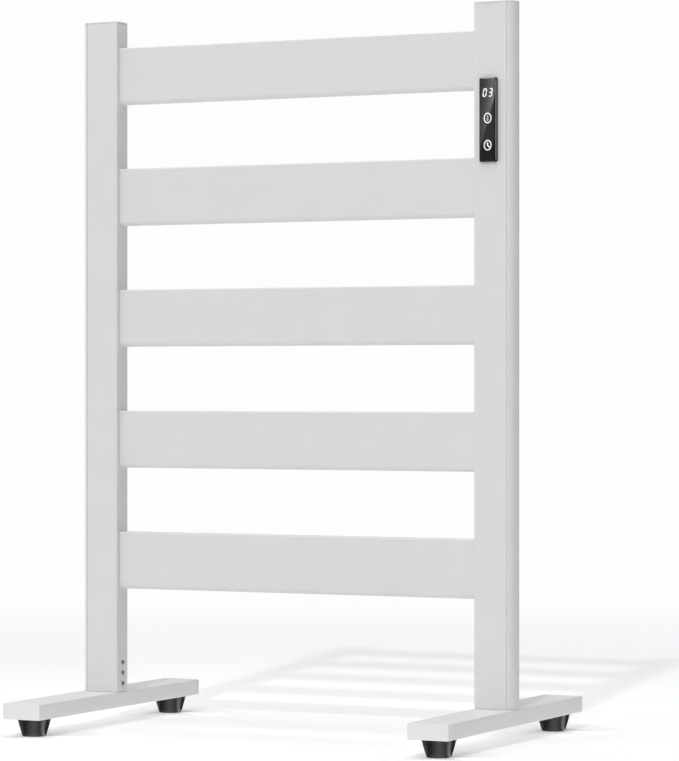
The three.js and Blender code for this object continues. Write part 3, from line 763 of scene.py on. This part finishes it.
def make_glass(materials):
    """The front plate: a flat face inside a ground bevel, with softened edges."""
    low, high = box_mm("control_glass")
    x, z = (low.x + high.x) / 2, (low.z + high.z) / 2
    width, height = high.x - low.x, high.z - low.z

    def ring(y, inset):
        radius = max(PANEL_CORNER - inset * 0.6, 0.5)
        outline = rounded_rectangle(width - 2 * inset, height - 2 * inset, radius, 8)
        return [Vector((x + u, y, z + v)) for u, v in outline]

    front, bevel_back = low.y, low.y + PANEL_BEVEL_DEPTH
    rings = [
        ring(high.y, 0.10), ring(high.y - 0.10, 0.0), ring(bevel_back + 0.12, 0.0),
        ring(bevel_back, 0.07), ring(front + 0.07, PANEL_BEVEL - 0.06), ring(front, PANEL_BEVEL + 0.08),
    ]
    glass = piece_from("bevelled_control_glass", loft(rings), materials["panel_glass"])
    install(glass, "frame", "panel_glass", "control_glass")


def make_housing(materials):
    """The housing behind the glass: a thin flange and a tub that is open to the front."""
    low, high = box_mm("control_housing")
    x, z = (low.x + high.x) / 2, (low.z + high.z) / 2
    width, height = high.x - low.x, high.z - low.z
    tub_width, tub_height, wall = width - 4.4, height - 5.0, 1.2

    def ring(y, w, h, radius):
        return [Vector((x + u, y, z + v)) for u, v in rounded_rectangle(w, h, radius, 6)]

    flange_back = low.y + 2.4
    rings = [
        ring(high.y - wall, tub_width - 2 * wall, tub_height - 2 * wall, 0.6),
        ring(low.y, tub_width - 2 * wall, tub_height - 2 * wall, 0.6),
        ring(low.y, width - 0.3, height - 0.3, PANEL_CORNER),
        ring(low.y + 0.15, width, height, PANEL_CORNER),
        ring(flange_back - 0.1, width, height, PANEL_CORNER),
        ring(flange_back, width - 0.2, height - 0.2, PANEL_CORNER),
        ring(flange_back, tub_width, tub_height, 1.0),
        ring(high.y, tub_width, tub_height, 1.0),
    ]
    housing = piece_from("moulded_control_housing", loft(rings), materials["panel_housing"])
    wire_hole = box_bm((x - 3, high.y - wall - 1, z - 4), (x + 5, high.y + 1, z + 4))
    install(cut(housing, [wire_hole]), "frame", "panel_housing", "control_housing")


SEGMENTS = {
    0: "abcdef", 1: "bc", 2: "abged", 3: "abgcd", 4: "fgbc",
    5: "afgcd", 6: "afgedc", 7: "abc", 8: "abcdefg", 9: "abcdfg",
}
DIGIT_WIDTH = 3.6      # between the middles of the upright segments
DIGIT_HEIGHT = 8.8     # between the middles of the top and bottom segments
DIGIT_STROKE = 1.25
DIGIT_PITCH = 7.2
DIGIT_SLANT = 0.14
READOUT = (0, 3)
KEY_RING = (4.85, 6.15, 1.1)  # two radii and the stroke


def bar_outline(start, end, thickness, gap):
    """A segment of a digit: a bar with pointed ends, between two places."""
    along = Vector(end) - Vector(start)
    length = along.length
    along.normalize()
    across = Vector((-along.y, along.x))
    half = thickness / 2
    shape = ((gap, 0), (gap + half, half), (length - gap - half, half), (length - gap, 0))
    shape += ((length - gap - half, -half), (gap + half, -half))
    return [Vector(start) + along * u + across * v for u, v in shape]


def digit_outlines(digit, centre_x, centre_z):
    w, h = DIGIT_WIDTH / 2, DIGIT_HEIGHT / 2
    lines = {
        "a": ((-w, h), (w, h)), "b": ((w, h), (w, 0)), "c": ((w, 0), (w, -h)), "d": ((-w, -h), (w, -h)),
        "e": ((-w, 0), (-w, -h)), "f": ((-w, h), (-w, 0)), "g": ((-w, 0), (w, 0)),
    }
    outlines = []
    for letter in SEGMENTS[digit]:
        outline = bar_outline(*lines[letter], DIGIT_STROKE, 0.12)
        outlines.append([(centre_x + p.x + DIGIT_SLANT * p.y, centre_z + p.y) for p in outline])
    return outlines


def slab(bm, outline, y_front, y_back):
    """A thin raised mark with a flat front, from an outline of (x, z)."""
    rings = [[Vector((x, y, z)) for x, z in outline] for y in (y_back, y_front)]
    loft(rings, bm=bm)


def ring_slab(bm, x, z, rx, ry, stroke, y_front, y_back, steps=56):
    outer = arc(x, z, rx, ry, 0, 360 - 360 / steps, steps - 1)
    inner = arc(x, z, rx - stroke, ry - stroke, 0, 360 - 360 / steps, steps - 1)
    order = ((outer, y_back), (outer, y_front), (inner, y_front), (inner, y_back))
    loft([[Vector((px, y, pz)) for px, pz in outline] for outline, y in order], wrap=True, bm=bm)


def capsule(x0, z0, x1, z1, radius, steps=10):
    """The outline of a stroke with round ends."""
    turn = math.degrees(math.atan2(z1 - z0, x1 - x0))
    return arc(x1, z1, radius, radius, turn - 90, turn + 90, steps) + arc(
        x0, z0, radius, radius, turn + 90, turn + 270, steps
    )


def make_marks(materials):
    """The lit marks on the glass: a readout, and rings for the heat and timer keys."""
    low, high = box_mm("control_glass")
    x, z = (low.x + high.x) / 2, (low.z + high.z) / 2
    front, back = low.y - 0.04, low.y + 0.02

    bm = bmesh.new()
    for place, digit in enumerate(READOUT):
        centre = x + (place - 0.5) * DIGIT_PITCH
        for outline in digit_outlines(digit, centre, z + DISPLAY_UP):
            slab(bm, outline, front, back)
    readout = piece_from("lit_readout", bm, materials["display_white"])
    install(readout, "frame", "display_white")

    bm = bmesh.new()
    key = z + HEAT_KEY_UP
    ring_slab(bm, x, key, *KEY_RING, front, back)
    heat = piece_from("lit_heat_key", bm, materials["display_white"])
    install(heat, "frame", "display_white")

    bm = bmesh.new()
    slab(bm, capsule(x, key - 1.9, x, key + 2.7, 0.75), front, back)
    slab(bm, arc(x, key - 2.1, 1.35, 1.5, 0, 345, 23), front - 0.005, back)
    thermometer = piece_from("dim_thermometer", bm, materials["dim_marks"])
    install(thermometer, "frame", "display_white")

    bm = bmesh.new()
    key = z + TIMER_KEY_UP
    ring_slab(bm, x, key, *KEY_RING, front, back)
    slab(bm, capsule(x - 0.1, key, x - 0.1, key + 3.1, 0.68), front, back)
    slab(bm, capsule(x - 0.1, key, x + 2.0, key - 2.4, 0.68), front - 0.005, back)
    timer = piece_from("lit_timer_key", bm, materials["display_white"])
    install(timer, "frame", "display_white")


# ------------------------------------------------------------------ cable gland

def make_gland(materials):
    """The cable gland on the rear of the right post: a flange and a ribbed dome nut round one bore."""
    low, high = box_mm("supply_gland")
    x, z = (low.x + high.x) / 2, (low.z + high.z) / 2
    wall_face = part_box("right_post")[1].y / MM + 0.2

    def place(u, v, along):
        return Vector((x + u, along, z + v))

    def ribs(angle, radius):
        ribbed = 7.0 < radius < 8.2
        return radius - 0.35 * (0.5 - 0.5 * math.cos(18 * angle)) ** 2 if ribbed else radius

    profile = [
        (3.7, low.y), (6.0, low.y), (6.0, wall_face), (8.7, wall_face), (9.0, wall_face + 0.3),
        (9.0, wall_face + 2.6), (8.7, wall_face + 3.0), (8.2, wall_face + 3.0), (8.2, wall_face + 3.4),
        (8.05, wall_face + 3.6), (8.05, wall_face + 8.0), (7.6, wall_face + 9.2), (6.9, wall_face + 10.3),
    ]
    profile += [(5.9, high.y - 0.25), (5.3, high.y), (4.2, high.y), (3.7, high.y - 0.5)]
    turned = lathe(profile, place, 108, wrap=True, ripple=ribs)
    gland = piece_from("moulded_supply_gland", turned, materials["white_plastic"])
    install(gland, "frame", "white_plastic", "supply_gland")


# ------------------------------------------------------------------ studio

KEY_DIRECTION = Vector((-0.30, 1.44, -1.0))
KEY = 0.86
SOFTBOXES = {
    # name: (radiance, location, target, width, height, roll in degrees)
    "front": (0.25, (-1.25, -2.75, 1.70), (0.26, 0, 0.72), 1.5, 1.35, 24.0),
    "top": (1.7, (0.1, -0.3, 4.4), (0, 0, 0.4), 4.2, 4.2, 0.0),
    "left": (0.2, (-3.0, -0.6, 1.2), (0, 0, 0.45), 0.8, 2.2, 0.0),
    "right": (0.75, (2.9, 0.9, 1.9), (0, 0, 0.7), 0.6, 2.2, 0.0),
}
FILL = {"left": 0.74, "right": 0.02, "top": 0.50}
BACKDROP = 0.985
FLOOR_RADIUS = 25.0
FLOOR_GLOW = 0.155       # all over, seen from the camera
FLOOR_POOL = 0.08        # a painted pool of glow, more in the middle
FLOOR_BOUNCE = 0.36      # a painted glow beside the foot bars, for light thrown back onto them


def softbox(name, radiance, location, target, width, height, roll):
    data = bpy.data.lights.new(name, "AREA")
    data.shape = "RECTANGLE"
    data.size, data.size_y = width, height
    data.energy = radiance * math.pi * width * height
    light = add_object(name, data)
    light.location = location
    turn = (Vector(target) - Vector(location)).to_track_quat("-Z", "Y")
    light.rotation_euler = (turn @ Quaternion((0, 0, 1), math.radians(roll))).to_euler()
    light.visible_camera = False


def make_lights():
    sun = bpy.data.lights.new("key", "SUN")
    sun.energy = KEY
    sun.angle = math.radians(2.0)
    key = add_object("key", sun)
    key.rotation_euler = KEY_DIRECTION.to_track_quat("-Z", "Y").to_euler()
    for name, settings in SOFTBOXES.items():
        softbox(name, *settings)


CARD_DISTANCE = 0.8      # from the glass
BEVEL_TILT = 0.835       # how far the bevels face sideways or up, per length forwards
FACE_PEAK = 4.6          # brightness in the middle of the face, before the diagonal
FACE_ACROSS = 90.0       # how fast it grows to the right, as a power of e per metre
FACE_RISE = -8.0         # the same upwards
FACE_LEAN = 0.2816       # of the diagonal, to the right per length upwards
FACE_BEYOND = 1.15       # on the far side of the diagonal
FACE_LOW = 0.5           # below the middle of the face


def show_only_in_reflections(card):
    for ray in ("camera", "diffuse", "transmission", "volume_scatter", "shadow"):
        setattr(card, f"visible_{ray}", False)


def card_material(name):
    """A material with no surface yet, its tree, and the local position as X, Y and Z in metres."""
    material, tree, shader = new_material(name)
    tree.nodes.remove(shader)
    return material, tree, node(tree, "ShaderNodeSeparateXYZ", {0: object_position(tree)}).outputs


def card_light(tree, strength):
    glow = node(tree, "ShaderNodeEmission", {"Color": (1, 1, 1, 1), "Strength": strength})
    tree.links.new(glow.outputs[0], tree.nodes["Material Output"].inputs["Surface"])


def reflection_card(name, normal, width, height):
    """A card that shows only as a reflection, where the front view sees it mirrored in a face of the glass.
    Returns its shader tree and its local position, x to the right and z up."""
    low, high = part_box("control_glass")
    glass = Vector(((low.x + high.x) / 2, low.y, (low.z + high.z) / 2))
    mesh = bpy.data.meshes.new(name)
    x, z = width / 2, height / 2
    mesh.from_pydata([(-x, 0, -z), (x, 0, -z), (x, 0, z), (-x, 0, z)], [], [(0, 1, 2, 3)])
    card = add_object(name, mesh)
    to_camera = (camera_place() - glass).normalized()
    direction = -to_camera.reflect(Vector(normal).normalized())
    card.location = glass + direction * CARD_DISTANCE
    card.rotation_euler = (-direction).to_track_quat("Y", "Z").to_euler()
    material, tree, place = card_material(name)
    mesh.materials.append(material)
    show_only_in_reflections(card)
    return tree, place


def make_reflection_cards():
    """What the control reflects: a gradient with a steep diagonal edge in its face, and a light for the right
    and the top bevel."""
    tree, place = reflection_card("face_card", (0, -1, 0), 0.09, 0.20)
    x, z = place["X"], place["Z"]
    power = compute(tree, "MULTIPLY_ADD", z, FACE_RISE, multiply(tree, x, FACE_ACROSS))
    gradient = multiply(tree, compute(tree, "EXPONENT", power), FACE_PEAK)
    diagonal = compute(tree, "MULTIPLY_ADD", z, FACE_LEAN, 0.0005)
    edge = spread(tree, compute(tree, "SUBTRACT", diagonal, x), 0.0, 1.0, -0.0006, 0.0006)
    beyond = spread(tree, z, FACE_LOW, FACE_BEYOND, -0.036, -0.028)
    lit = node(tree, "ShaderNodeMix", {"Factor": edge, 2: beyond, 3: gradient}).outputs[0]
    rim = spread(tree, x, 1.0, 0.35, 0.0084, 0.0094)
    card_light(tree, multiply(tree, lit, rim))

    tree, place = reflection_card("right_bevel_card", (BEVEL_TILT, -1, 0), 0.08, 0.22)
    card_light(tree, spread(tree, place["Z"], 7.5, 8.0, -0.06, 0.06))
    tree, place = reflection_card("top_bevel_card", (0, -1, BEVEL_TILT), 0.10, 0.10)
    card_light(tree, spread(tree, place["X"], 10.0, 12.0, -0.02, 0.02))


# The pale streaks in the side of a rubber foot, as (direction and half width in degrees, brightness).
FOOT_STREAKS = ((-163, 30, 0.35), (-62, 58, 1.2), (0, 27, 2.7), (159, 45, 0.25))
FOOT_STREAK_BASE = 0.05
FOOT_CARD_RADIUS = 0.075
FOOT_CARD_HEIGHT = 0.0004


def make_foot_cards():
    """A disc on the floor round each foot that shows only as a reflection, brighter in some directions."""
    mesh = disc_mesh("foot_card", FOOT_CARD_RADIUS, 48)
    material, tree, place = card_material("foot_card")
    direction = compute(tree, "ARCTAN2", place["Y"], place["X"])
    total = FOOT_STREAK_BASE
    for centre, half_width, brightness in FOOT_STREAKS:
        off = compute(tree, "ABSOLUTE", compute(tree, "SUBTRACT", direction, math.radians(centre)))
        streak = spread(tree, off, brightness, 0.0, 0.0, math.radians(half_width), "SMOOTHSTEP")
        total = compute(tree, "ADD", streak, total)
    card_light(tree, total)
    mesh.materials.append(material)
    for side in SIDES:
        for end in ENDS:
            low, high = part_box(f"rubber_foot_{end}_{side}")
            card = add_object(f"foot_card_{end}_{side}", mesh)
            card.location = ((low.x + high.x) / 2, (low.y + high.y) / 2, FOOT_CARD_HEIGHT)
            show_only_in_reflections(card)


def make_world():
    """A soft fill from the left, the right and above, and a plain pale backdrop where the camera sees it."""
    world = bpy.data.worlds.new("studio")
    world.use_nodes = True
    tree = world.node_tree
    tree.nodes.clear()
    direction = node(tree, "ShaderNodeTexCoord").outputs["Generated"]
    total = 0.0
    sides = {"left": (-1, 0, 0), "right": (1, 0, 0), "top": (0, 0, 1)}
    for name, axis in sides.items():
        along = node(tree, "ShaderNodeVectorMath", {0: direction, 1: axis}, operation="DOT_PRODUCT")
        lobe = spread(tree, along.outputs["Value"], 0.0, FILL[name], 0.0, 1.0, "SMOOTHSTEP")
        total = compute(tree, "ADD", lobe, total)
    fill = node(tree, "ShaderNodeBackground", {"Color": (1, 1, 1, 1), "Strength": total})
    seen = node(tree, "ShaderNodeBackground", {"Color": (1, 1, 1, 1), "Strength": BACKDROP})
    direct = node(tree, "ShaderNodeLightPath").outputs["Is Camera Ray"]
    mix = node(tree, "ShaderNodeMixShader", {0: direct, 1: fill.outputs[0], 2: seen.outputs[0]})
    node(tree, "ShaderNodeOutputWorld", {"Surface": mix.outputs[0]})
    bpy.context.scene.world = world


def floor_bounce(tree, position):
    """A painted glow beside the foot bars, unseen by the camera, for the extra light that the floor throws
    back onto them.
    """
    bar_low, bar_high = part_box("right_foot_bar")
    bar_x, bar_y = (bar_low.x + bar_high.x) / 2, bar_high.y
    place = node(tree, "ShaderNodeSeparateXYZ", {0: position}).outputs
    across = compute(tree, "SUBTRACT", compute(tree, "ABSOLUTE", place["X"]), bar_x)
    beside = spread(tree, compute(tree, "ABSOLUTE", across), FLOOR_BOUNCE, 0.0, 0.03, 0.13)
    along = compute(tree, "ABSOLUTE", place["Y"])
    return multiply(tree, beside, spread(tree, along, 1.0, 0.0, bar_y, bar_y + 0.12))


def make_floor():
    """A pale lit floor that glows, with a painted pool of light in the middle and a painted glow beside the
    foot bars, and fades into the backdrop away from the object.
    """
    mesh = disc_mesh("floor", FLOOR_RADIUS, 96)
    material, tree, shader = new_material("pale_floor")
    shader.inputs["Base Color"].default_value = (0.80, 0.80, 0.80, 1)
    shader.inputs["Roughness"].default_value = 0.6
    shader.inputs["Specular IOR Level"].default_value = 0.25
    shader.inputs["Emission Color"].default_value = (1, 1, 1, 1)
    position = object_position(tree)
    distance = node(tree, "ShaderNodeVectorMath", {0: position}, operation="LENGTH").outputs["Value"]
    pool = spread(tree, distance, FLOOR_POOL, 0.0, 0.3, 1.3, "SMOOTHSTEP")
    seen = node(tree, "ShaderNodeLightPath").outputs["Is Camera Ray"]
    inputs = {"Factor": seen, 2: floor_bounce(tree, position), 3: FLOOR_GLOW}
    glow = node(tree, "ShaderNodeMix", inputs).outputs[0]
    tree.links.new(compute(tree, "ADD", pool, glow), shader.inputs["Emission Strength"])
    far = spread(tree, distance, 0.0, 1.0, 1.0, 2.6, "SMOOTHSTEP")
    backdrop = node(tree, "ShaderNodeEmission", {"Color": (1, 1, 1, 1), "Strength": BACKDROP})
    mix = node(tree, "ShaderNodeMixShader", {0: far, 1: shader.outputs[0], 2: backdrop.outputs[0]})
    tree.links.new(mix.outputs[0], tree.nodes["Material Output"].inputs["Surface"])
    mesh.materials.append(material)
    add_object("floor", mesh)


# ------------------------------------------------------------------ the scene

bpy.context.scene.view_settings.view_transform = "Standard"

make_camera()
materials = make_materials()
paint_cad_nodes(materials)

for side in SIDES:
    make_post(side, materials)
    make_post_cap(side, materials)
    make_foot_bar(side, materials)
    for number in SCREWS:
        make_screw(side, number, materials)
    for end in ENDS:
        make_bar_cap(side, end, materials)
        make_rubber_foot(end, side, materials)
        make_foot_stud(end, side, materials)
for number in SLATS:
    make_slat(number, materials)
make_glass(materials)
make_housing(materials)
make_marks(materials)
make_gland(materials)

make_world()
make_lights()
make_floor()
make_reflection_cards()
make_foot_cards()
